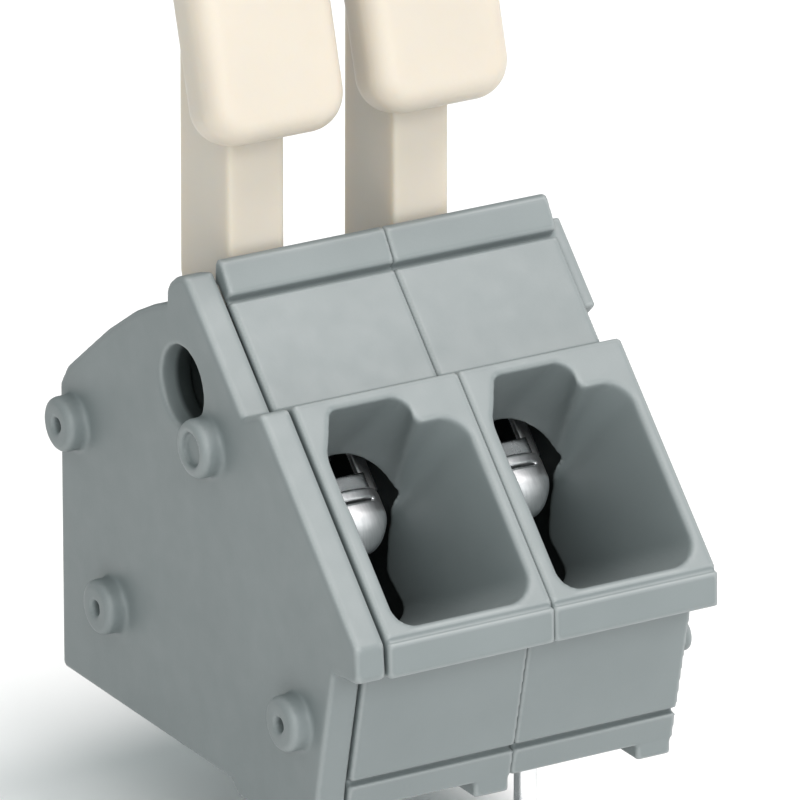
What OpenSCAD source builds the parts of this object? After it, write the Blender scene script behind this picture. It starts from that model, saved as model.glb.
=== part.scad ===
// Lever-operated board terminal block: two poles, 45 degree wire entry, cage clamps.
// Frame: +X along the row of poles, front (wire side) is -Y, +Z up, z = 0 on the board.
// The origin is the front solder pin of pole 1 where it meets the board.

/* [Housing] */
// Distance from one pole to the next
pole_pitch = 5; // [4.8:0.05:6]
// Gap left between two neighbouring pieces
seam_gap = 0.05; // [0.03:0.01:0.12]
// Right side wall of a housing
side_wall = 0.5; // [0.4:0.05:0.8]
// Distance from the back wall to the front pin row
pin_depth = 10.2; // [9:0.1:12]
// Thickness of the floor
floor_t = 0.55; // [0.4:0.05:1]
// Height of the floor's underside over the board
floor_lift = 0.45; // [0.2:0.05:1]
// How far the wire face stands out from the upper panel
rim_proud = 1.0; // [0.4:0.1:1.4]
// How far the ledge's lower edge stands out from the panel
ledge_step = 0.15; // [0.05:0.01:0.4]
// Length of the wire face along the slope
rim_len = 7.0; // [6:0.1:8]

/* [Wire entry] */
// Width of the funnel's mouth
mouth_w = 4.18; // [3.6:0.02:4.3]
// Length of the funnel's mouth along the slope
mouth_len = 5.45; // [4.5:0.05:5.6]
// Corner radius of the mouth
mouth_r = 0.85; // [0.4:0.05:1.4]
// Width of the throat
throat_w = 2.7; // [2.2:0.1:3.2]
// Depth at which the funnel opens into the clamp space
throat_depth = 3.85; // [3.2:0.05:4.2]
// Width of the tool notch over the funnel
notch_w = 2.23; // [1.6:0.01:2.6]
// Radius of the round wire hole at the notch's end
wire_hole_r = 1.3; // [1:0.05:1.35]

/* [End plate] */
// Thickness of the end plate
plate_t = 0.9; // [0.7:0.05:1.4]
// Radius of the round hole in line with the lever's axis
plate_hole_r = 1.11; // [0.8:0.01:1.3]
// Radius of the domes on the outer face
dome_r = 0.76; // [0.5:0.02:1]
// Height of the domes
dome_h = 0.6; // [0.3:0.05:0.9]
// Depth of the locating foot under the board's surface
foot_drop = 0.35; // [0.1:0.05:0.6]

/* [Joining pegs] */
// Radius of the pegs
peg_r = 0.45; // [0.3:0.05:0.6]
// Length of the pegs
peg_len = 0.9; // [0.6:0.05:1.2]

/* [Lever] */
// Radius of the fixed pivot tube
pivot_r = 1.3; // [1.2:0.01:1.4]
// Radial clearance between the lever's hub and the pivot tube
pivot_gap = 0.04; // [0.01:0.01:0.1]
// Outer radius of the lever's hub
hub_r = 1.75; // [1.7:0.01:1.8]
// Width of the stem
stem_w = 1.7; // [1.4:0.05:1.8]
// Width of the finger pad
pad_w = 4.05; // [3:0.05:4.3]
// Thickness of the finger pad
pad_t = 1.75; // [1.2:0.05:2.2]
// Height of the finger pad's top over the board
lever_top = 24.8; // [20:0.1:27]
// Lean of the finger pad
pad_lean = 16; // [0:1:25]
// Swing of the lever from rest to fully open
lever_swing = 50; // [40:1:55]

/* [Clamp] */
// Travel of the cage at full swing
cage_travel = 1.5; // [1.2:0.05:1.5]
// Thickness of the spring strip
strip_t = 0.25; // [0.2:0.01:0.25]
// Width of the cage
cage_w = 2.8; // [2.6:0.1:3]
// Width of the window in the cage
window_w = 2.0; // [1.9:0.05:2.2]
// Width of the contact tongue
tongue_w = 1.8; // [1.5:0.05:1.85]
// Thickness of the contact tongue
tongue_t = 0.38; // [0.3:0.02:0.4]

/* [Solder pins] */
// Length of the pins below the board's surface
pin_len = 3.6; // [2.5:0.1:5]
// Width of a pin
pin_w = 0.55; // [0.4:0.05:0.9]
// Thickness of a pin
pin_t = 0.4; // [0.3:0.05:0.8]
// Distance between the two pin rows
row_gap = 5; // [4:0.1:6]

/* [Hidden] */
$fn = 64;
k = sqrt(0.5);
eps = 0.01;
// top front corner of the wire face, measured from the back wall and the board
rim_f = 10.83;
rim_z = 10.9;
// lever axis, measured the same way
piv_f = 6.65;
piv_z = 10.27;
// slope coordinates: v runs down the slope, d runs into the body
function sl(v, d) = [rim_f + (v - d) * k, rim_z - (v + d) * k];
piv_v = ((piv_f - rim_f) - (piv_z - rim_z)) * k;
piv_d = -((piv_f - rim_f) + (piv_z - rim_z)) * k;
function fy(f) = pin_depth - f;
body_w = pole_pitch - seam_gap;
hollow_x = body_w - side_wall;
hole_x = 0.47;
lane_c = 2.35;
notch_x = 2.135;
// cam: an involute that moves the flat shoulder in proportion to the swing
cam_k = cage_travel / (lever_swing * PI / 180);
shoulder_v = -0.74;
cam_s0 = shoulder_v - piv_v - 0.02;
cage_d = 4.0;
shoulder_end = 5.65;
loop_x = 2.4;
tongue_v = 1.22;
edge_v = tongue_v + tongue_t + 0.02;
cage_bottom_v = edge_v + 1.33;
window_v = -0.35;
tube_bore_r = 0.95;
stem_x = 0.5;
stem_front = 6.67;
stem_rear = 4.0;
pad_f = 8.0;
pad_z = 18.3;
pad_bottom = 16.9;

// extrude a side profile, points (depth from the back wall, height), along X
module side(points, x0, x1) {
    translate([x0, 0, 0]) rotate([90, 0, 90]) linear_extrude(height = x1 - x0)
        polygon([for (p = points) [fy(p[0]), p[1]]]);
}
// the same, with points given in slope coordinates
module slope_side(points, x0, x1) {
    side([for (p = points) sl(p[0], p[1])], x0, x1);
}
// children in the slope frame: x, -v (up the slope), -d (outward)
module on_slope() {
    translate([0, fy(rim_f), rim_z]) rotate([45, 0, 0]) children();
}
module rod(f, z, r, x0, x1) {
    translate([x0, fy(f), z]) rotate([0, 90, 0]) cylinder(r = r, h = x1 - x0);
}
module rounded(w, h, r) {
    square([w - 2 * r, h], center = true);
    square([w, h - 2 * r], center = true);
    for (i = [-1, 1], j = [-1, 1])
        translate([i * (w / 2 - r), j * (h / 2 - r)]) circle(r = r, $fn = 32);
}
module pole(n) {
    translate([(n - 1) * pole_pitch - pole_pitch / 2, 0, 0]) children();
}
peg_spots = [[0.85, 7.35], [2.9, 2.8], [12.7, 2.95]];

// points shared by the housing's and the end plate's outlines, down from the rim
function front_edge(inset) = [sl(0, inset), sl(rim_len - inset, inset),
    [15.84 - inset, 5.0], [14.58 - inset, 4.88], [13.79 - inset, 1.32]];
rear_edge = [[0, 8.2], [0.4, 8.8], [1.25, 9.48], [2.6, 10.55], [4.06, 11.53], [5, 12.02], [5.85, 12.37]];

// ---- end plate ----
module plate_outline() {
    side(concat([[0, 0]], rear_edge, [[5.85, 12.72], [6, 12.98], [6.3, 13.22], [6.83, 13.39],
        sl(-0.38, rim_proud + 0.04)], front_edge(0.08), [[13.45, -foot_drop], [9.5, -foot_drop], [9.1, 0]]),
        -seam_gap - plate_t, -seam_gap);
}
module end_plate() {
    x_out = -seam_gap - plate_t;
    color("lightslategray") pole(1) difference() {
        union() {
            plate_outline();
            for (s = peg_spots) rod(s[0], s[1], dome_r, x_out - dome_h, x_out + eps);
            rod(8.1, 9.08, dome_r + 0.04, x_out - dome_h, x_out + eps);
            for (s = peg_spots) rod(s[0], s[1], peg_r, -seam_gap - eps, peg_len);
            // collar that keeps the lever's hub off the plate
            rod(piv_f, piv_z, hub_r, -seam_gap - eps, stem_x - 0.12);
        }
        rod(piv_f, piv_z, pivot_r, -seam_gap, 1);
        rod(piv_f, piv_z, plate_hole_r, x_out - 1, 0);
        for (s = peg_spots) rod(s[0], s[1], 0.22, x_out - dome_h - 1, x_out - dome_h + 0.4);
        rod(8.1, 9.08, 0.48, x_out - dome_h - 1, x_out - dome_h + 0.15);
    }
}

// ---- housing ----
module housing_solid() {
    side(concat([[0, floor_lift]], rear_edge, [[6.62, 12.66], [6.8, 13.7], [7.09, 13.7],
        sl(-3.72, rim_proud - ledge_step), sl(-3.72, rim_proud),
        sl(-0.38, rim_proud)], front_edge(0), [[13.6, floor_lift]]), 0, body_w);
    // feet at the right end, front and back
    for (f = [[11.9, 13.6], [0.3, 1.6]])
        side([[f[0], 0], [f[0], floor_lift + eps], [f[1], floor_lift + eps], [f[1], 0]], body_w - 1.05, body_w);
    // tongue that laps into the next housing, and the joining pegs
    slope_side([[-4.2, 1.2], [-1.5, 1.2], [-1.5, 1.7], [-4.2, 1.7]], body_w - eps, body_w + 0.46);
    for (s = peg_spots) rod(s[0], s[1], peg_r, body_w - eps, body_w + seam_gap + peg_len);
}
module housing_hollow() {
    difference() {
        union() {
            side([[0.7, floor_lift + floor_t], [0.7, 7.9], [1.6, 8.95], [3, 10.05], [4.4, 11], [5.2, 11.4],
                [6, 11.7], sl(-1.2, throat_depth), sl(5.15, throat_depth),
                [10.9, 3.6], [10.9, floor_lift + floor_t]], -eps, hollow_x);
            rod(piv_f, piv_z, hub_r + 0.1, -eps, hollow_x);
            // room for the cam's sweep
            slope_side([[-1.3, 3.9], [-1, 2.3], [-0.3, 2.6], [0.2, 2.95], [0.55, 3.4], [0.55, 3.9]],
                -eps, stem_x + stem_w + 0.12);
        }
        // guide wall beside the cage
        slope_side([[2.3, throat_depth - 0.1], [5.4, throat_depth - 0.1], [5, 5.4], [3, 5.4]],
            lane_c + cage_w / 2 + 0.06, hollow_x + eps);
        for (s = peg_spots) rod(s[0], s[1], peg_r + 0.5, -1, hollow_x + eps);
    }
    for (s = peg_spots) rod(s[0], s[1], peg_r + 0.01, -1, peg_len + 0.1);
    // slot for the lever, open to the top and over the back
    side([[6.79, 10], [6.79, 15], [0.5, 15], [0.5, 11.7], [4.5, 8.3]], -eps, stem_x + stem_w + 0.12);
    side([[6.79, 12.2], [6.79, 15], [5.9, 15], [5.9, 12.2]], -eps, body_w + eps);
    // recess for the neighbour's tongue
    slope_side([[-4.3, 1.15], [-1.4, 1.15], [-1.4, 1.8], [-4.3, 1.8]], -eps, 0.49);
}
module funnel_ring(x, up, out, w, h, r, t) {
    for (i = [-1, 1], j = [-1, 1])
        translate([x + i * (w / 2 - r), up + j * (h / 2 - r), out]) cylinder(r = r, h = t, $fn = 32);
}
module wire_funnel() {
    mouth_x = hole_x + mouth_w / 2;
    mouth_mid = -(rim_len - 0.42 - mouth_len / 2);
    on_slope() {
        hull() {
            funnel_ring(mouth_x, mouth_mid, 0, mouth_w, mouth_len, mouth_r, 0.3);
            funnel_ring(lane_c, -3.3, -throat_depth - 0.2, throat_w, 3, 0.7, 0.1);
        }
        translate([lane_c, -3.3, -throat_depth - 0.4]) linear_extrude(height = 0.6)
            square([throat_w - 0.5, 2.6], center = true);
    }
}
module cage_opening() {
    // opening between the round wire hole and the cage
    on_slope() translate([lane_c, -1.5, -throat_depth + 0.4]) cube([throat_w, 2.8, 1.0], center = true);
}
module tool_notch() {
    // half a cone over the funnel, which ends in the round wire hole
    on_slope() hull() {
        translate([notch_x, -1.4, 0]) linear_extrude(height = 0.3) rounded(notch_w, 2.2, 0.4);
        translate([lane_c - 0.05, -0.4 - wire_hole_r, -3.05]) cylinder(r = wire_hole_r, h = 0.05, $fn = 32);
    }
}
module groove_lines() {
    // shallow lines under the ledge and over the bottom strip, and the chin's lower edge
    slope_side([[-3.72, rim_proud - 0.5], [-3.57, rim_proud - 0.5], [-3.57, rim_proud + 0.16],
        [-3.72, rim_proud + 0.16]], -1, body_w + 1);
    side([[13.62, 1.28], [14.2, 1.28], [14.2, 1.4], [13.62, 1.4]], -1, body_w + 1);
}
module housing(n) {
    pole(n) difference() {
        union() {
            difference() {
                housing_solid();
                housing_hollow();
            }
            rod(piv_f, piv_z, pivot_r, stem_x - 0.05, hollow_x + eps);
        }
        wire_funnel();
        cage_opening();
        tool_notch();
        groove_lines();
        rod(piv_f, piv_z, tube_bore_r, -1, hollow_x - 0.1);
        // slots for the two solder pins
        for (f = [pin_depth, pin_depth - row_gap])
            translate([pole_pitch / 2, fy(f), floor_lift])
                cube([pin_w + 0.1, pin_t + 0.1, 2 * floor_t + 0.2], center = true);
    }
}
module housing_1() { color("slategray") housing(1); }
module housing_2() { color("slategray") housing(2); }

// ---- lever ----
// cam point for the roll angle a, in the frame of the lever at rest
function cam_pt(a) = let(s = cam_s0 + cam_k * a * PI / 180, t = a)
    [piv_v + s * cos(t) - cam_k * sin(t), piv_d + s * sin(t) + cam_k * cos(t)];
module lever(n) {
    lean = [-sin(pad_lean), cos(pad_lean)];
    out = [cos(pad_lean), sin(pad_lean)];
    function on_pad(h, t) = [pad_f, pad_z] + (h - pad_z) / cos(pad_lean) * lean - t * out;
    pad_x = stem_x + stem_w / 2;
    pole(n) {
        difference() {
            union() {
                rod(piv_f, piv_z, hub_r, stem_x, stem_x + stem_w);
                // stem, widening into the hub
                side([[stem_front, piv_z], [stem_front, 17.4], on_pad(21.2, pad_t - 0.1), on_pad(21.9, pad_t - 0.1),
                    [4.35, 21.3], [4.05, 20.6], [stem_rear, 12.4], [4.8, piv_z]], stem_x, stem_x + stem_w);
                // cam lobe
                slope_side(concat([for (a = [0:5:lever_swing]) cam_pt(a)], [
                    [piv_v + 0.4, piv_d + 3.3], [piv_v - 0.9, piv_d + 1.2],
                    [piv_v, piv_d]]), stem_x, stem_x + stem_w);
            }
            rod(piv_f, piv_z, pivot_r + pivot_gap, 0, pole_pitch);
        }
        finger_pad(pad_x);
    }
}
module finger_pad(x) {
    // leaning pad with soft corners
    pad_len = (lever_top - pad_bottom) / cos(pad_lean);
    translate([x, fy(pad_f + (pad_z - pad_bottom) * tan(pad_lean)), pad_bottom]) rotate([-pad_lean, 0, 0])
        translate([0, pad_t / 2, pad_len / 2])
            hull() {
                for (s = [-1, 1]) translate([0, s * 0.3, 0]) rotate([90, 0, 0])
                    linear_extrude(height = pad_t - 0.75, center = true) rounded(pad_w, pad_len, 1.0);
                rotate([90, 0, 0]) linear_extrude(height = pad_t, center = true)
                    rounded(pad_w - 0.5, pad_len - 0.5, 0.9);
            }
}
module lever_1() { color("linen") lever(1); }
module lever_2() { color("linen") lever(2); }

// ---- clamp: one bent strip in the real thing ----
module clamp_cage(n) {
    x0 = lane_c - cage_w / 2;
    x1 = lane_c + cage_w / 2;
    pole(n) difference() {
        union() {
            // shoulder the cam presses on, and the windowed leg
            slope_side([[shoulder_v, cage_d + 0.25], [shoulder_v + 0.07, cage_d + 0.07],
                [shoulder_v + 0.25, cage_d], [cage_bottom_v, cage_d], [cage_bottom_v, cage_d + strip_t],
                [shoulder_v + strip_t + 0.1, cage_d + strip_t], [shoulder_v + strip_t, cage_d + strip_t + 0.1],
                [shoulder_v + strip_t, shoulder_end], [shoulder_v, shoulder_end]], x0, x1);
        }
        slope_side([[window_v, cage_d - 1], [edge_v, cage_d - 1], [edge_v, cage_d + 1], [window_v, cage_d + 1]],
            lane_c - window_w / 2, lane_c + window_w / 2);
        for (s = [0, 1]) on_slope() translate([s == 0 ? x0 : x1, -cage_bottom_v, -cage_d])
            rotate([0, 0, 45]) cube([0.7, 0.7, 2], center = true);
    }
}
module clamp_spring(n) {
    // rest leg on the tongue, the loop, and the arm that meets the shoulder
    r_out = (tongue_v - 0.02 - shoulder_v) / 2;
    mid_v = shoulder_v + r_out;
    arc_d = 6.55;
    pole(n) slope_side(concat(
        [[tongue_v - 0.02, arc_d - 0.5]],
        [for (a = [90:-9:-90]) [mid_v + r_out * sin(a), arc_d + 1.2 * r_out * cos(a)]],
        [[shoulder_v, shoulder_end + 0.04], [shoulder_v + strip_t, shoulder_end + 0.04]],
        [for (a = [-90:9:90]) [mid_v + (r_out - strip_t) * sin(a), arc_d + (1.2 * r_out - strip_t) * cos(a)]],
        [[tongue_v - 0.02 - strip_t, arc_d - 0.5]]), loop_x, lane_c + cage_w / 2);
}
module clamp_cage_1() { color("silver") clamp_cage(1); }
module clamp_cage_2() { color("silver") clamp_cage(2); }
module clamp_spring_1() { color("gainsboro") clamp_spring(1); }
module clamp_spring_2() { color("gainsboro") clamp_spring(2); }

// ---- current bar with its two solder pins ----
module current_bar(n) {
    x0 = lane_c - tongue_w / 2;
    x1 = lane_c + tongue_w / 2;
    bar_z = floor_lift + floor_t;
    top = sl(tongue_v, 7.35);
    low = sl(tongue_v + tongue_t, 7.35 - tongue_t * 0.4);
    rear = pin_depth - row_gap;
    pole(n) {
        side([sl(0.84, 3.5), sl(0.84, 3.8), sl(tongue_v, 3.8), top, [top[0], bar_z + 0.4], [rear - pin_t / 2, bar_z + 0.4],
            [rear - pin_t / 2, bar_z], [pin_depth + pin_t / 2, bar_z], [pin_depth + pin_t / 2, bar_z + 0.4],
            [top[0] + 0.45, bar_z + 0.4], [top[0] + 0.45, low[1]], sl(tongue_v + tongue_t, 3.5)], x0, x1);
        for (f = [pin_depth, rear]) translate([pole_pitch / 2, fy(f), 0]) difference() {
            translate([-pin_w / 2, -pin_t / 2, -pin_len]) cube([pin_w, pin_t, pin_len + bar_z + 0.1]);
            for (s = [-1, 1]) translate([s * pin_w / 2, 0, -pin_len]) rotate([0, s * 20, 0])
                cube([0.2, 1, 1.2], center = true);
        }
    }
}
module current_bar_1() { color("lightgray") current_bar(1); }
module current_bar_2() { color("lightgray") current_bar(2); }

end_plate();
housing_1();
housing_2();
lever_1();
lever_2();
clamp_cage_1();
clamp_cage_2();
clamp_spring_1();
clamp_spring_2();
current_bar_1();
current_bar_2();
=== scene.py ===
"""Looks of the two-pole lever terminal block, built round its CAD frame.

Each piece is written as signed distances on a grid, in millimetres, and then skinned.
Lengths follow part.scad, apart from the finger pad's: x runs along the poles, f is the depth
from the back wall towards the wire side, z is the height over the board, and on the 45 degree
wire face v runs down the slope and d runs into the body.
"""
import math

import bpy
import numpy as np
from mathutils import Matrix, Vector


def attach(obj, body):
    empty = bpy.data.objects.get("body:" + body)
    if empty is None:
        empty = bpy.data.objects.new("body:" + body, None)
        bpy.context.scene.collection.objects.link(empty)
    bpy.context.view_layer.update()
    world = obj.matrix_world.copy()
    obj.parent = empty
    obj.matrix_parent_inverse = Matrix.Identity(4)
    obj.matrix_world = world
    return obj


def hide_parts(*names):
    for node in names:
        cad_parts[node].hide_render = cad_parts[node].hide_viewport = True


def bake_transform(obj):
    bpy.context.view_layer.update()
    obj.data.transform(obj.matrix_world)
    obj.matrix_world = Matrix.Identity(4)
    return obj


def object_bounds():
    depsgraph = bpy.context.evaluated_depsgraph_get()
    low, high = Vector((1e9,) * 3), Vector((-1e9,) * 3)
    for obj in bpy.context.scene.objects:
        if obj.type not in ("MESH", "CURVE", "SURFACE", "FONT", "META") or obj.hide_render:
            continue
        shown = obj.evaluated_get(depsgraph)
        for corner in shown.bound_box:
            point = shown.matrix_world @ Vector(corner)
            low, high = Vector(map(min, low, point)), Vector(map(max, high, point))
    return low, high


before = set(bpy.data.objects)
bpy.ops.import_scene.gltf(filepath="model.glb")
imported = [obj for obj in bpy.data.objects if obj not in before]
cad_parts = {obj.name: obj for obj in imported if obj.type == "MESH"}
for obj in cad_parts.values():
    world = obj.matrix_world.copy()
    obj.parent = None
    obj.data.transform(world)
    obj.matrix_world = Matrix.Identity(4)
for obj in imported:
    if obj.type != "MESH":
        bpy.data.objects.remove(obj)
cad_low, cad_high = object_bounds()

MM = 0.001
K = math.sqrt(0.5)

# ---- driving dimensions, as in part.scad ----
PITCH = 5.0
PIN_DEPTH = 10.2
RIM_F, RIM_Z = 10.83, 10.9
PIV_F, PIV_Z = 6.65, 10.27
RIM_PROUD = 1.0
RIM_LEN = 7.0
LEDGE_STEP = 0.15
BODY_W = 4.95
HOLLOW_X = 4.45
FLOOR_Z = 0.45
FLOOR_TOP = 1.0
PLATE_OUT = -0.95
PLATE_IN = -0.05
LANE = 2.35
STEM_X0, STEM_X1 = 0.5, 2.2
PAD_F, PAD_Z = 8.0, 18.3
PAD_TOP = 24.8
PAD_LEAN = math.radians(16)
PAD_T = 1.75
HUB_R = 1.75
PIVOT_R = 1.3
CAGE_D = 4.0
CAGE_W = 2.8
STRIP = 0.25
SHOULDER_V = -0.74
SHOULDER_END = 5.65
TONGUE_V, TONGUE_T = 1.22, 0.38
TRAVEL = 1.5
SWING = math.radians(50)
PEG_SPOTS = [(0.85, 7.35), (2.9, 2.8), (12.7, 2.95)]
WIDE_DOME = (8.1, 9.08)
PLATE_HOLE_R = 1.11
DOME_R = 0.76
PEG_R = 0.45
PIN_HALF_W, PIN_HALF_T = 0.275, 0.2

# ---- where the looks leave part.scad: there the pad starts at 16.9 and is 4.05 wide ----
PAD_BOTTOM = 17.25
PAD_W = 4.2

# ---- distance over which the painted shade on inner walls fades out ----
INNER_FADE = 0.15

# ---- grid steps ----
GRID = 0.08
FINE_GRID = 0.05
BAR_GRID = 0.06


def on_slope(v, d):
    """(f, z) of a point given down the wire face and into the body."""
    return (RIM_F + (v - d) * K, RIM_Z - (v + d) * K)


REAR_EDGE = [(0, 8.2), (0.4, 8.8), (1.25, 9.48), (2.6, 10.55), (4.06, 11.53), (5, 12.02), (5.85, 12.37)]


# ---- distances ----
def smooth_min(a, b, k):
    if k <= 0:
        return np.minimum(a, b)
    h = np.maximum(k - np.abs(a - b), 0) / k
    return np.minimum(a, b) - h * h * k / 4


def smooth_max(a, b, k):
    return -smooth_min(-a, -b, k)


def inset(points, r):
    """The outline moved inwards by r, with mitred corners."""
    pts = np.array(points, float)
    area = np.sum(pts[:, 0] * np.roll(pts[:, 1], -1) - pts[:, 1] * np.roll(pts[:, 0], -1))
    if area < 0:
        pts = pts[::-1]
    edge = np.roll(pts, -1, axis=0) - pts
    edge /= np.linalg.norm(edge, axis=1)[:, None]
    normal = np.stack([-edge[:, 1], edge[:, 0]], 1)
    before = np.roll(normal, 1, axis=0)
    mitre = (normal + before) / (1 + np.sum(normal * before, 1))[:, None]
    return pts + mitre * r


def outline(points, p, q, r=0.0):
    """Distance to a closed outline in the plane of p and q, its outer corners rounded by r."""
    pts = inset(points, r)
    best = np.full(np.broadcast(p, q).shape, 1e9)
    sign = np.ones(best.shape)
    for a, b in zip(pts, np.roll(pts, -1, axis=0)):
        ex, ey = b - a
        wx, wy = p - a[0], q - a[1]
        t = np.clip((wx * ex + wy * ey) / (ex * ex + ey * ey), 0, 1)
        best = np.minimum(best, (wx - ex * t) ** 2 + (wy - ey * t) ** 2)
        above, below = q >= a[1], q < b[1]
        left = ex * wy > ey * wx
        sign = np.where((above & below & left) | (~above & ~below & ~left), -sign, sign)
    return sign * np.sqrt(best) - r


def between(p, low, high):
    return np.abs(p - (low + high) / 2) - (high - low) / 2


def joined(a, b, r=0.0):
    """Where both distances are inside, the shared edge rounded by r."""
    a, b = a + r, b + r
    return np.minimum(np.maximum(a, b), 0) + np.hypot(np.maximum(a, 0), np.maximum(b, 0)) - r


def rounded_rect(p, q, p_range, q_range, r):
    half_p, half_q = (p_range[1] - p_range[0]) / 2, (q_range[1] - q_range[0]) / 2
    a = np.abs(p - (p_range[0] + p_range[1]) / 2) - half_p + r
    b = np.abs(q - (q_range[0] + q_range[1]) / 2) - half_q + r
    return np.minimum(np.maximum(a, b), 0) + np.hypot(np.maximum(a, 0), np.maximum(b, 0)) - r


class Sculpt:
    """A block of space, in one pole's own frame, that shapes are added to and cut from."""

    def __init__(self, x, f, z, step):
        low = np.array([x[0], PIN_DEPTH - f[1], z[0]]) - 3 * step
        high = np.array([x[1], PIN_DEPTH - f[0], z[1]]) + 3 * step
        count = np.ceil((high - low) / step).astype(int) + 1
        self.low, self.step = low, step
        self.x, y, self.z = np.ix_(*[low[i] + step * np.arange(count[i]) for i in range(3)])
        self.f = PIN_DEPTH - y
        self.v = ((self.f - RIM_F) - (self.z - RIM_Z)) * K
        self.d = -((self.f - RIM_F) + (self.z - RIM_Z)) * K
        self.field = np.full(count, 9.0)
        self.inner = self.field

    def add(self, distance, k=0.0):
        self.field = smooth_min(self.field, distance, k)

    def cut(self, distance, k=0.0):
        self.field = smooth_max(self.field, -distance, k)

    def side(self, points, x0, x1, r=0.0, edge=None):
        """A side outline, points (f, z), carried along x."""
        edge = r if edge is None else edge
        return joined(outline(points, self.f, self.z, r), between(self.x, x0, x1), edge)

    def slope_side(self, points, x0, x1, r=0.0, edge=None):
        return self.side([on_slope(*p) for p in points], x0, x1, r, edge)

    def rod(self, f, z, radius, x0, x1, edge=0.0):
        return joined(np.hypot(self.f - f, self.z - z) - radius, between(self.x, x0, x1), edge)

    def skin(self):
        """Surface net: a vertex in each cell the surface crosses, a quad for each crossed grid edge."""
        field, inside = self.field, self.field < 0
        cells = tuple(n - 1 for n in field.shape)
        some, every = np.zeros(cells, bool), np.ones(cells, bool)
        corners = [(i, j, k) for i in (0, 1) for j in (0, 1) for k in (0, 1)]
        for i, j, k in corners:
            part = inside[i:i + cells[0], j:j + cells[1], k:k + cells[2]]
            some |= part
            every &= part
        at = np.argwhere(some & ~every)
        number = np.full(cells, -1)
        number[tuple(at.T)] = np.arange(len(at))
        total, hits = np.zeros((len(at), 3)), np.zeros(len(at))
        for axis in range(3):
            along = np.eye(3, dtype=int)[axis]
            for corner in corners:
                if corner[axis]:
                    continue
                start = at + np.array(corner)
                a, b = field[tuple(start.T)], field[tuple((start + along).T)]
                crossed = (a < 0) != (b < 0)
                t = a / np.where(crossed, a - b, 1)
                total += np.where(crossed[:, None], np.array(corner) + t[:, None] * along, 0)
                hits += crossed
        points = self.low + (at + total / hits[:, None]) * self.step
        quads = []
        for axis in range(3):
            p, q = (axis + 1) % 3, (axis + 2) % 3
            first = [slice(None)] * 3
            second = [slice(None)] * 3
            first[axis], second[axis] = slice(0, -1), slice(1, None)
            crossed = inside[tuple(first)] != inside[tuple(second)]
            spots = np.argwhere(crossed)
            spots = spots[(spots[:, p] > 0) & (spots[:, q] > 0)]
            spots = spots[(spots[:, p] < cells[p]) & (spots[:, q] < cells[q])]
            leaving = inside[tuple(spots.T)]
            ring = []
            for dp, dq in ((-1, -1), (0, -1), (0, 0), (-1, 0)):
                cell = spots.copy()
                cell[:, p] += dp
                cell[:, q] += dq
                ring.append(number[tuple(cell.T)])
            ring = np.stack(ring, 1)
            quads.append(np.where(leaving[:, None], ring, ring[:, ::-1]))
        # how much painted shade each vertex gets: full on the inner walls, fading out over INNER_FADE
        inner = np.clip(1 - self.sample(points, self.inner) / INNER_FADE, 0, 1)
        return points, np.concatenate(quads), {"bend": self.curvature(points), "inner": inner}

    def curvature(self, points, reach=1.3):
        """How sharply the surface turns: above 0 on outer edges, below 0 in inner corners."""
        gap = reach * self.step
        around = -6 * self.sample(points)
        for axis in range(3):
            for way in (-gap, gap):
                around = around + self.sample(points + way * np.eye(3)[axis])
        return around / gap

    def sample(self, points, values=None):
        """The field, or other grid values, between grid points."""
        values = self.field if values is None else values
        place = np.clip((points - self.low) / self.step, 0, np.array(self.field.shape) - 1.001)
        corner = place.astype(int)
        part = place - corner
        total = 0
        for i, j, k in ((i, j, k) for i in (0, 1) for j in (0, 1) for k in (0, 1)):
            share = np.prod(np.where((i, j, k), part, 1 - part), axis=1)
            total = total + share * values[corner[:, 0] + i, corner[:, 1] + j, corner[:, 2] + k]
        return total


def mesh_object(name, points, quads, marks, shift, material):
    """A smooth-shaded object from points in millimetres, moved along x to its pole."""
    mesh = bpy.data.meshes.new(name)
    mesh.vertices.add(len(points))
    mesh.vertices.foreach_set("co", ((points + np.array([shift, 0, 0])) * MM).astype(np.float32).ravel())
    mesh.loops.add(len(quads) * 4)
    mesh.loops.foreach_set("vertex_index", quads.astype(np.int32).ravel())
    mesh.polygons.add(len(quads))
    mesh.polygons.foreach_set("loop_start", np.arange(0, len(quads) * 4, 4, dtype=np.int32))
    mesh.update(calc_edges=True)
    for mark, values in marks.items():
        mesh.attributes.new(mark, "FLOAT", "POINT").data.foreach_set("value", values.astype(np.float32))
    mesh.shade_smooth()
    mesh.materials.append(material)
    obj = bpy.data.objects.new(name, mesh)
    bpy.context.scene.collection.objects.link(obj)
    return obj


# ---- shapes ----
def front_edge(back):
    return [on_slope(0, back), on_slope(RIM_LEN - back, back), (15.84 - back, 5.0),
            (14.58 - back, 4.88), (13.79 - back, 1.32)]


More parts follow.
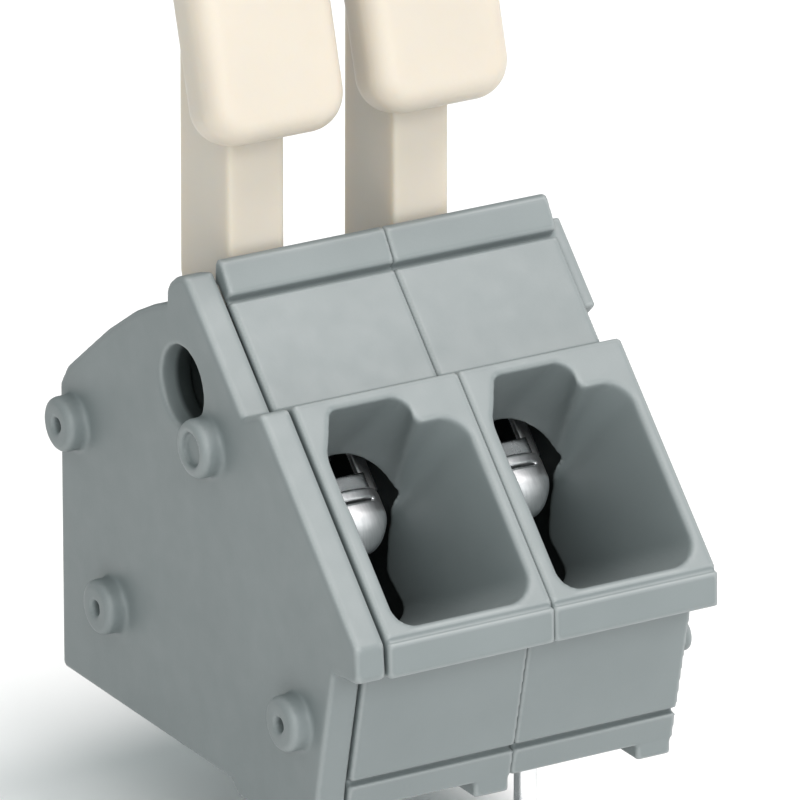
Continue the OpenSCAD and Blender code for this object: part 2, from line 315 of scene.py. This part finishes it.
def end_plate_shape():
    s = Sculpt((PLATE_OUT - 0.6, 0.9), (0, 15.84), (-0.35, 13.45), GRID)
    points = [(0, 0)] + REAR_EDGE + [(5.85, 12.72), (6, 12.98), (6.3, 13.22), (6.83, 13.39),
                                     on_slope(-0.38, RIM_PROUD + 0.04)]
    points += front_edge(0.08) + [(13.45, -0.35), (9.5, -0.35), (9.1, 0)]
    s.add(s.side(points, PLATE_OUT, PLATE_IN, 0.16, 0.13))
    for f, z in PEG_SPOTS:
        s.add(s.rod(f, z, DOME_R, PLATE_OUT - 0.6, PLATE_OUT + 0.2, 0.2), 0.12)
        s.add(s.rod(f, z, PEG_R, PLATE_IN - 0.1, 0.9, 0.08))
        s.cut(s.rod(f, z, 0.2, PLATE_OUT - 1, PLATE_OUT - 0.1), 0.1)
    f, z = WIDE_DOME
    s.add(s.rod(f, z, 0.8, PLATE_OUT - 0.6, PLATE_OUT + 0.2, 0.22), 0.12)
    s.cut(s.rod(f, z, 0.45, PLATE_OUT - 1, PLATE_OUT - 0.42), 0.12)
    # collar behind the hole, which keeps the lever's hub off the plate
    s.add(s.rod(PIV_F, PIV_Z, HUB_R, PLATE_IN - 0.1, 0.38))
    s.cut(s.rod(PIV_F, PIV_Z, PIVOT_R, PLATE_IN, 1))
    # land that closes the joint line a little under the surface
    s.add(s.side(inset(points, 0.35), PLATE_IN - 0.1, -0.004))
    s.cut(np.hypot(s.f - PIV_F, s.z - PIV_Z) - PLATE_HOLE_R, 0.1)
    # the bore behind the hole gets the painted shade of inner walls
    s.inner = s.rod(PIV_F, PIV_Z, PIVOT_R, PLATE_IN - 0.35, 1)
    return s.skin()


def funnel(s):
    """The wire funnel: a wide mouth whose right wall and floor sweep in as it gets deeper."""
    depth = np.clip(s.d, 0, 5.5)
    left = 0.47 + 0.09 * depth
    deep_right = 3.72 + 0.2 * np.clip((s.v - 2.4) / 1.6, 0, 1)
    right = deep_right + (4.66 - deep_right) * (1 - depth / 5.5) ** 2.2
    top = 1.15 + 0.2 * depth
    bottom = 6.6 - 2.1 * (depth / 5.5) ** 1.2
    low_corner = np.where(s.x < 2.2, 0.6, 0.85 - 0.04 * depth)
    radius = np.where(s.v < (top + bottom) / 2, 0.75 - 0.13 * depth, low_corner)
    section = rounded_rect(s.x, s.v, (left, right), (top, bottom), radius)
    return np.maximum(section * 0.9, between(s.d, -3, 5.5))


def notch(s):
    """Tool notch over the mouth's left part: half a cone that ends in the round wire hole."""
    run = np.clip(s.d / 3.0, 0, 1)
    spread = 0.5 * np.clip((s.v - 0.3) / 1.1, 0, 1) * (1 - run)
    left = 1.02 - spread
    right = 3.25 + 0.37 * run
    top = 0.3 + 0.1 * run
    radius = np.where(s.x < 2.2, 0.15 + 1.15 * run, 0.5 + 0.8 * run)
    section = rounded_rect(s.x, s.v, (left, right), (top, 3.0), radius)
    return np.maximum(section * 0.9, between(s.d, -3, 3.2))


def housing_shape():
    s = Sculpt((0, 5.95), (0, 15.84), (0, 13.75), GRID)
    points = [(0, FLOOR_Z)] + REAR_EDGE + [(6.62, 12.66), (6.8, 13.7), (7.09, 13.7),
              on_slope(-3.72, RIM_PROUD - LEDGE_STEP), on_slope(-3.72, RIM_PROUD),
              on_slope(-0.38, RIM_PROUD)] + front_edge(0) + [(13.6, FLOOR_Z)]
    s.add(s.side(points, 0, BODY_W + 0.03, 0.1, 0.03))
    for f0, f1 in ((11.9, 13.6), (0.3, 1.6)):
        s.add(s.side([(f0, 0), (f0, 1), (f1, 1), (f1, 0)], BODY_W - 1.05, BODY_W, 0.08))
    # grooves under the ledge, over the bottom strip and along the wire face's lower edge
    s.cut(s.slope_side([(-3.73, 0.4), (-3.61, 0.4), (-3.61, 1.22), (-3.73, 1.22)], -1, 6), 0.03)
    s.cut(s.side([(13.55, 1.25), (14.4, 1.25), (14.4, 1.39), (13.55, 1.39)], -1, 6), 0.04)
    s.cut(s.slope_side([(6.84, -0.2), (6.93, -0.2), (6.93, 0.14), (6.84, 0.14)], -1, 6), 0.02)
    hollow = s.side([(0.7, FLOOR_TOP), (0.7, 7.9), (1.6, 8.95), (3, 10.05), (4.4, 11), (5.2, 11.4),
                     (6, 11.7), on_slope(-1.2, 3.85), on_slope(1.9, 3.85), on_slope(3.0, 5.5),
                     on_slope(5.6, 5.5), (10.2, FLOOR_TOP)], -1, HOLLOW_X)
    hub_room = s.rod(PIV_F, PIV_Z, HUB_R + 0.1, -1, HOLLOW_X)
    hollow = np.minimum(hollow, hub_room)
    for f, z in PEG_SPOTS:
        hollow = np.maximum(hollow, -(np.hypot(s.f - f, s.z - z) - 0.95))
    s.cut(hollow)
    # the hollow's walls get the painted shade of inner walls
    s.inner = hollow
    # channel that the cage slides in
    s.cut(s.slope_side([(-1.2, 3.1), (1.75, 3.1), (1.94, 3.9), (2.38, 4.8), (2.98, 5.4), (3.6, 5.6),
                        (-1.2, 5.6)], -1, HOLLOW_X), 0.04)
    s.cut(smooth_min(funnel(s), notch(s), 0.25), 0.1)
    # slot for the lever, open to the top and over the back
    s.cut(s.side([(6.79, 10), (6.79, 15), (0.5, 15), (0.5, 11.7), (4.5, 8.3)], -1, STEM_X1 + 0.12))
    s.cut(s.side([(6.79, 12.2), (6.79, 15), (5.9, 15), (5.9, 12.2)], -1, 6))
    s.add(s.rod(PIV_F, PIV_Z, PIVOT_R, STEM_X0 - 0.05, HOLLOW_X + 0.2, 0.05))
    s.cut(s.rod(PIV_F, PIV_Z, 0.95, -1, HOLLOW_X - 0.1), 0.05)
    for f, z in PEG_SPOTS:
        s.cut(s.rod(f, z, 0.47, -1, 1.0))
        s.add(s.rod(f, z, PEG_R, BODY_W - 0.1, 5.9, 0.08))
    # tongue that laps into the next housing, and the room for the neighbour's
    s.add(s.slope_side([(-4.2, 1.2), (-1.5, 1.2), (-1.5, 1.7), (-4.2, 1.7)],
                       BODY_W - 0.1, BODY_W + 0.46, 0.05))
    s.cut(s.slope_side([(-4.3, 1.3), (-1.4, 1.3), (-1.4, 1.8), (-4.3, 1.8)], -1, 0.48))
    for f in (PIN_DEPTH, PIN_DEPTH - 5):
        slot = rounded_rect(s.x, s.f, (2.5 - 0.33, 2.5 + 0.33), (f - 0.25, f + 0.25), 0.02)
        s.cut(np.maximum(slot, between(s.z, -1, FLOOR_TOP + 0.1)))
    return s.skin()


def lever_shape():
    s = Sculpt((-0.8, 3.5), (2.5, 9.5), (6.6, 24.9), GRID)
    out = np.array([math.cos(PAD_LEAN), math.sin(PAD_LEAN)])
    up = np.array([-math.sin(PAD_LEAN), math.cos(PAD_LEAN)])
    # hub and stem
    s.add(s.rod(PIV_F, PIV_Z, HUB_R, STEM_X0, STEM_X1, 0.05))

    def on_pad(height, back):
        along = (height - PAD_Z) / math.cos(PAD_LEAN)
        return tuple(np.array([PAD_F, PAD_Z]) + along * up - back * out)

    s.add(s.side([(6.67, PIV_Z), (6.67, 17.4), on_pad(21.2, PAD_T - 0.1), on_pad(21.9, PAD_T - 0.1),
                  (4.35, 21.3), (4.05, 20.6), (4.0, 12.4), (4.8, PIV_Z)], STEM_X0, STEM_X1, 0.12), 0.1)
    # cam lobe under the hub, an involute that moves the cage in proportion to the swing
    piv_v, piv_d = ((PIV_F - RIM_F) - (PIV_Z - RIM_Z)) * K, -((PIV_F - RIM_F) + (PIV_Z - RIM_Z)) * K
    reach = TRAVEL / SWING
    cam = []
    for i in range(11):
        a = SWING * i / 10
        r = SHOULDER_V - piv_v - 0.02 + reach * a
        cam.append((piv_v + r * math.cos(a) - reach * math.sin(a),
                    piv_d + r * math.sin(a) + reach * math.cos(a)))
    cam += [(piv_v + 0.4, piv_d + 3.3), (piv_v - 0.9, piv_d + 1.2), (piv_v, piv_d)]
    s.add(s.slope_side(cam, STEM_X0, STEM_X1, 0.02, 0.04))
    s.cut(s.rod(PIV_F, PIV_Z, PIVOT_R + 0.04, 0, 5))
    # finger pad, a soft-cornered pillow that leans back
    along = (s.f - PAD_F) * up[0] + (s.z - PAD_Z) * up[1]
    back = -((s.f - PAD_F) * out[0] + (s.z - PAD_Z) * out[1])
    low = (PAD_BOTTOM - PAD_Z) / math.cos(PAD_LEAN)
    high = (PAD_TOP - PAD_Z) / math.cos(PAD_LEAN)
    middle = (STEM_X0 + STEM_X1) / 2
    face = rounded_rect(s.x, along, (middle - PAD_W / 2, middle + PAD_W / 2), (low, high), 1.05)
    s.add(joined(face, between(back, 0, PAD_T), 0.68), 0.08)
    return s.skin()


def cage_shape():
    """Clamp cage: shoulder, windowed leg and a lower body that curls away at its foot."""
    s = Sculpt((LANE - 1.5, LANE + 1.5), (5.5, 12.5), (4.8, 9.9), FINE_GRID)
    x0, x1 = LANE - CAGE_W / 2, LANE + CAGE_W / 2
    leg = [(SHOULDER_V, CAGE_D + 0.25), (SHOULDER_V + 0.07, CAGE_D + 0.07), (SHOULDER_V + 0.25, CAGE_D),
           (2.6, CAGE_D), (2.6, CAGE_D + STRIP), (SHOULDER_V + STRIP + 0.1, CAGE_D + STRIP),
           (SHOULDER_V + STRIP, CAGE_D + STRIP + 0.1), (SHOULDER_V + STRIP, SHOULDER_END),
           (SHOULDER_V, SHOULDER_END)]
    s.add(s.slope_side(leg, x0, x1, 0.03, 0.1))
    s.cut(joined(between(s.x, LANE - 1.0, LANE + 1.0), between(s.v, -0.34, 1.62), 0.1))
    # lower body: bulges towards the funnel, narrows and curls back at its foot
    foot = np.clip((s.v - 2.0) / 0.95, 0, 1)
    crown = 0.5 * (1 - np.clip(np.abs(s.x - LANE) / 1.4, 0, 1) ** 3)
    half = np.where(s.v < 1.28, CAGE_W / 2, 1.18 - 0.55 * foot ** 1.6)
    middle = CAGE_D + 0.03 - crown + 0.5 * foot ** 2
    width = between(s.x, LANE - half, LANE + half)
    s.field = np.maximum(s.field, width)
    body = joined(joined(width, between(s.v, 1.28, 2.95), 0.25), (np.abs(s.d - middle) - 0.15) * 0.8, 0.1)
    s.add(body, 0.06)
    s.cut(joined(between(s.x, LANE - 0.2, LANE + 0.85), between(s.v, 1.62, 1.7), 0.02), 0.02)
    return s.skin()


def spring_shape():
    """The loop of the clamp's strip, from the tongue round to the shoulder."""
    s = Sculpt((LANE - 0.1, LANE + 1.5), (3.6, 8.5), (4.2, 8.2), FINE_GRID)
    r_out = (TONGUE_V - 0.02 - SHOULDER_V) / 2
    mid_v, mid_d = SHOULDER_V + r_out, 6.55
    ring = np.abs(np.hypot(s.v - mid_v, (s.d - mid_d) / 1.2) - (r_out - STRIP / 2)) - STRIP / 2
    ring = np.maximum(ring, mid_d - s.d)
    arm = rounded_rect(s.v, s.d, (SHOULDER_V, SHOULDER_V + STRIP), (SHOULDER_END + 0.04, mid_d + 0.1), 0.02)
    rest = rounded_rect(s.v, s.d, (TONGUE_V - 0.02 - STRIP, TONGUE_V - 0.02),
                        (mid_d - 0.5, mid_d + 0.1), 0.02)
    strip = smooth_min(np.minimum(arm, rest), ring, 0.03)
    s.add(joined(strip, between(s.x, 2.4, LANE + CAGE_W / 2), 0.03))
    return s.skin()


def bar_shape():
    """Current bar: hook, tongue, upright, foot and two solder pins."""
    s = Sculpt((LANE - 1, LANE + 1), (4.9, 12.5), (-3.6, 8.3), BAR_GRID)
    x0, x1 = LANE - 0.9, LANE + 0.9
    top = on_slope(TONGUE_V, 7.35)
    low = on_slope(TONGUE_V + TONGUE_T, 7.35 - TONGUE_T * 0.4)
    rear = PIN_DEPTH - 5
    s.add(s.side([on_slope(0.84, 3.5), on_slope(0.84, 3.8), on_slope(TONGUE_V, 3.8), top, (top[0], 1.4),
                  (rear - 0.2, 1.4), (rear - 0.2, 1.0), (PIN_DEPTH + 0.2, 1.0), (PIN_DEPTH + 0.2, 1.4),
                  (top[0] + 0.45, 1.4), (top[0] + 0.45, low[1]), on_slope(TONGUE_V + TONGUE_T, 3.5)],
                 x0, x1, 0.06))
    for f in (PIN_DEPTH, rear):
        taper = 0.2 * np.clip((-2.9 - s.z) / 0.7, 0, 1)
        pin = rounded_rect(s.x, s.f, (2.5 - PIN_HALF_W + taper, 2.5 + PIN_HALF_W - taper),
                           (f - PIN_HALF_T + taper / 3, f + PIN_HALF_T - taper / 3), 0.05)
        s.add(joined(pin, between(s.z, -3.6, 1.1), 0.05), 0.05)
    return s.skin()


# ---- materials ----
class Paint:
    """Short-hand for building one node material."""

    def __init__(self, name, **settings):
        self.material = bpy.data.materials.new(name)
        self.material.use_nodes = True
        self.nodes, self.links = self.material.node_tree.nodes, self.material.node_tree.links
        self.shader = self.nodes["Principled BSDF"]
        for socket, value in settings.items():
            self.shader.inputs[socket.replace("_", " ")].default_value = value
        self.where = self.nodes.new("ShaderNodeTexCoord").outputs["Object"]

    def noise(self, scale, detail=3.0, stretch=None):
        node = self.nodes.new("ShaderNodeTexNoise")
        node.inputs["Scale"].default_value = scale
        node.inputs["Detail"].default_value = detail
        place = self.where
        if stretch:
            mapping = self.nodes.new("ShaderNodeMapping")
            mapping.inputs["Scale"].default_value = stretch
            self.links.new(place, mapping.inputs["Vector"])
            place = mapping.outputs["Vector"]
        self.links.new(place, node.inputs["Vector"])
        return node.outputs["Fac"]

    def ramp(self, value, stops):
        node = self.nodes.new("ShaderNodeValToRGB")
        while len(node.color_ramp.elements) < len(stops):
            node.color_ramp.elements.new(0.5)
        for element, (position, colour) in zip(node.color_ramp.elements, stops):
            element.position = position
            element.color = (*colour, 1)
        self.links.new(value, node.inputs["Fac"])
        return node.outputs["Color"]

    def mix(self, factor, a, b):
        node = self.nodes.new("ShaderNodeMix")
        node.data_type = "RGBA"
        for socket, value in (("Factor_Float", factor), ("A_Color", a), ("B_Color", b)):
            place = next(i for i in node.inputs if i.identifier == socket)
            if isinstance(value, (float, tuple)):
                place.default_value = value
            else:
                self.links.new(value, place)
        return next(o for o in node.outputs if o.identifier == "Result_Color")

    def span(self, value, low, high):
        node = self.nodes.new("ShaderNodeMapRange")
        node.inputs["To Min"].default_value = low
        node.inputs["To Max"].default_value = high
        self.links.new(value, node.inputs["Value"])
        return node.outputs["Result"]

    def bump(self, *layers):
        normal = None
        for height, strength, distance in layers:
            node = self.nodes.new("ShaderNodeBump")
            node.inputs["Strength"].default_value = strength
            node.inputs["Distance"].default_value = distance
            self.links.new(height, node.inputs["Height"])
            if normal is not None:
                self.links.new(normal, node.inputs["Normal"])
            normal = node.outputs["Normal"]
        self.links.new(normal, self.shader.inputs["Normal"])

    def mark(self, name):
        """What shape code stores on the vertices: "bend" on outer edges, which are lightened as wear and
        painted highlight, "inner" on hidden walls, which get painted shade.
        """
        node = self.nodes.new("ShaderNodeAttribute")
        node.attribute_name = name
        return node.outputs["Fac"]

    def set(self, socket, value):
        self.links.new(value, self.shader.inputs[socket])


def moulded_grey():
    p = Paint("moulded_grey", Specular_IOR_Level=0.6)
    body = p.ramp(p.noise(260, 4), [(0.3, (0.144, 0.167, 0.169)), (0.7, (0.158, 0.182, 0.184))])
    # lighter along outer edges: partly wear, partly a painted highlight where the edges catch the light
    edge = p.ramp(p.mark("bend"), [(0.35, (0, 0, 0)), (1.0, (1, 1, 1))])
    worn_and_highlit = p.mix(p.span(edge, 0.0, 0.4), body, (0.30, 0.32, 0.32, 1))
    # painted shade, not the plastic's colour: inner walls are near black, standing in for the deep shade
    # inside a real cavity
    p.set("Base Color", p.mix(p.mark("inner"), worn_and_highlit, (0.02, 0.026, 0.026, 1)))
    p.set("Roughness", p.span(p.noise(1400, 3), 0.42, 0.6))
    p.bump((p.noise(700, 2), 0.12, 0.00004), (p.noise(9000, 2), 0.25, 0.00001))
    return p.material


def moulded_cream():
    p = Paint("moulded_cream", Specular_IOR_Level=0.45, Subsurface_Weight=0.5, Subsurface_Scale=0.0015)
    p.shader.inputs["Subsurface Radius"].default_value = (1.0, 0.7, 0.4)
    body = p.ramp(p.noise(200, 3), [(0.3, (0.46, 0.42, 0.36)), (0.7, (0.49, 0.448, 0.383))])
    p.set("Base Color", body)
    p.set("Roughness", p.span(p.noise(1200, 3), 0.36, 0.5))
    p.bump((p.noise(500, 2), 0.1, 0.00004), (p.noise(8000, 2), 0.2, 0.000008))
    return p.material


def spring_steel():
    p = Paint("spring_steel", Metallic=1.0, Anisotropic=0.4)
    grain = p.noise(2500, 3, (8, 1, 1))
    p.set("Base Color", p.ramp(grain, [(0.3, (0.80, 0.81, 0.82)), (0.7, (0.90, 0.91, 0.92))]))
    p.set("Roughness", p.span(grain, 0.3, 0.42))
    p.bump((grain, 0.08, 0.000002))
    return p.material


def tin_plate():
    p = Paint("tin_plate", Metallic=1.0)
    p.set("Base Color", p.ramp(p.noise(900, 4), [(0.3, (0.66, 0.67, 0.68)), (0.7, (0.84, 0.85, 0.86))]))
    p.set("Roughness", p.span(p.noise(2500, 3), 0.16, 0.34))
    p.bump((p.noise(3000, 2), 0.12, 0.000008))
    return p.material


def studio_floor():
    p = Paint("studio_floor", Roughness=0.7)
    p.set("Base Color", p.ramp(p.noise(30, 2), [(0.3, (0.88, 0.88, 0.88)), (0.7, (0.9, 0.9, 0.9))]))
    return p.material


# ---- put the pieces on their bodies ----
def place(name, skin, pole, material, slot, node, body):
    obj = mesh_object(name, *skin, (pole - 1) * PITCH - PITCH / 2, material)
    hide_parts(node)
    if body:
        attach(obj, body)
    return obj


grey, cream, steel, tin = moulded_grey(), moulded_cream(), spring_steel(), tin_plate()
place("end_plate_shell", end_plate_shape(), 1, grey, "housing_plastic", "end_plate", "block")
skins = {"housing": housing_shape(), "lever": lever_shape(), "cage": cage_shape(),
         "spring": spring_shape(), "bar": bar_shape()}
for pole in (1, 2):
    place(f"housing_shell_{pole}", skins["housing"], pole, grey, "housing_plastic",
          f"housing_{pole}", "block")
    place(f"finger_lever_{pole}", skins["lever"], pole, cream, "lever_plastic", f"lever_{pole}",
          f"lever_{pole}_body")
    place(f"cage_strip_{pole}", skins["cage"], pole, steel, "spring_steel", f"clamp_cage_{pole}",
          f"cage_{pole}_body")
    place(f"tin_bar_{pole}", skins["bar"], pole, tin, "tinned_copper", f"current_bar_{pole}", "block")
    loop = place(f"spring_loop_{pole}", skins["spring"], pole, steel, "spring_steel",
                 f"clamp_spring_{pole}", None)
    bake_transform(loop)


# ---- stage, light and camera ----
def build_stage():
    bpy.ops.mesh.primitive_plane_add(size=1.6, location=(0, 0.3, cad_low.z))
    floor = bpy.context.object
    floor.name = "floor"
    floor.data.materials.append(studio_floor())


def area_light(name, towards, distance, size, power, tint):
    light = bpy.data.lights.new(name, "AREA")
    light.shape, light.size, light.energy, light.color = "DISK", size, power, tint
    obj = bpy.data.objects.new(name, light)
    aim = Vector((2.5, 3, 8)) * MM
    obj.location = aim + Vector(towards).normalized() * distance
    obj.rotation_euler = (aim - obj.location).to_track_quat("-Z", "Y").to_euler()
    bpy.context.scene.collection.objects.link(obj)


def build_camera():
    azimuth, elevation, distance = math.radians(-30.544), math.radians(21.107), 307.6
    aim = Vector((2.890, 3.011, 8.824))
    back = Vector((math.sin(azimuth) * math.cos(elevation), -math.cos(azimuth) * math.cos(elevation),
                   math.sin(elevation)))
    data = bpy.data.cameras.new("camera")
    data.lens, data.sensor_width = 522.5, 36
    data.clip_start, data.clip_end = 0.05, 10
    cam = bpy.data.objects.new("camera", data)
    cam.location = (aim + back * distance) * MM
    cam.rotation_euler = (-back).to_track_quat("-Z", "Y").to_euler()
    bpy.context.scene.collection.objects.link(cam)
    bpy.context.scene.camera = cam


def build_world():
    world = bpy.data.worlds.new("world")
    bpy.context.scene.world = world
    world.use_nodes = True
    background = world.node_tree.nodes["Background"]
    background.inputs["Color"].default_value = (0.9, 1, 1, 1)
    background.inputs["Strength"].default_value = 0.43
    bpy.context.scene.view_settings.view_transform = "Standard"
    bpy.context.scene.view_settings.look = "None"


build_stage()
area_light("key", (0.3, -0.36, 1.0), 0.5, 0.3, 2.55, (1, 0.95, 0.94))
area_light("front", (-0.05, -0.9, 0.55), 0.5, 0.25, 1.15, (1, 0.98, 0.98))
area_light("fill", (-0.5, -0.8, 0.4), 0.5, 0.3, 0.6, (0.93, 1, 1))
# stand-in: a weak light near the levers, which lifts them without lifting the block as much
area_light("lever_fill", (-0.8, -0.4, 0.9), 0.05, 0.03, 0.004, (1, 0.96, 0.92))
build_camera()
build_world()
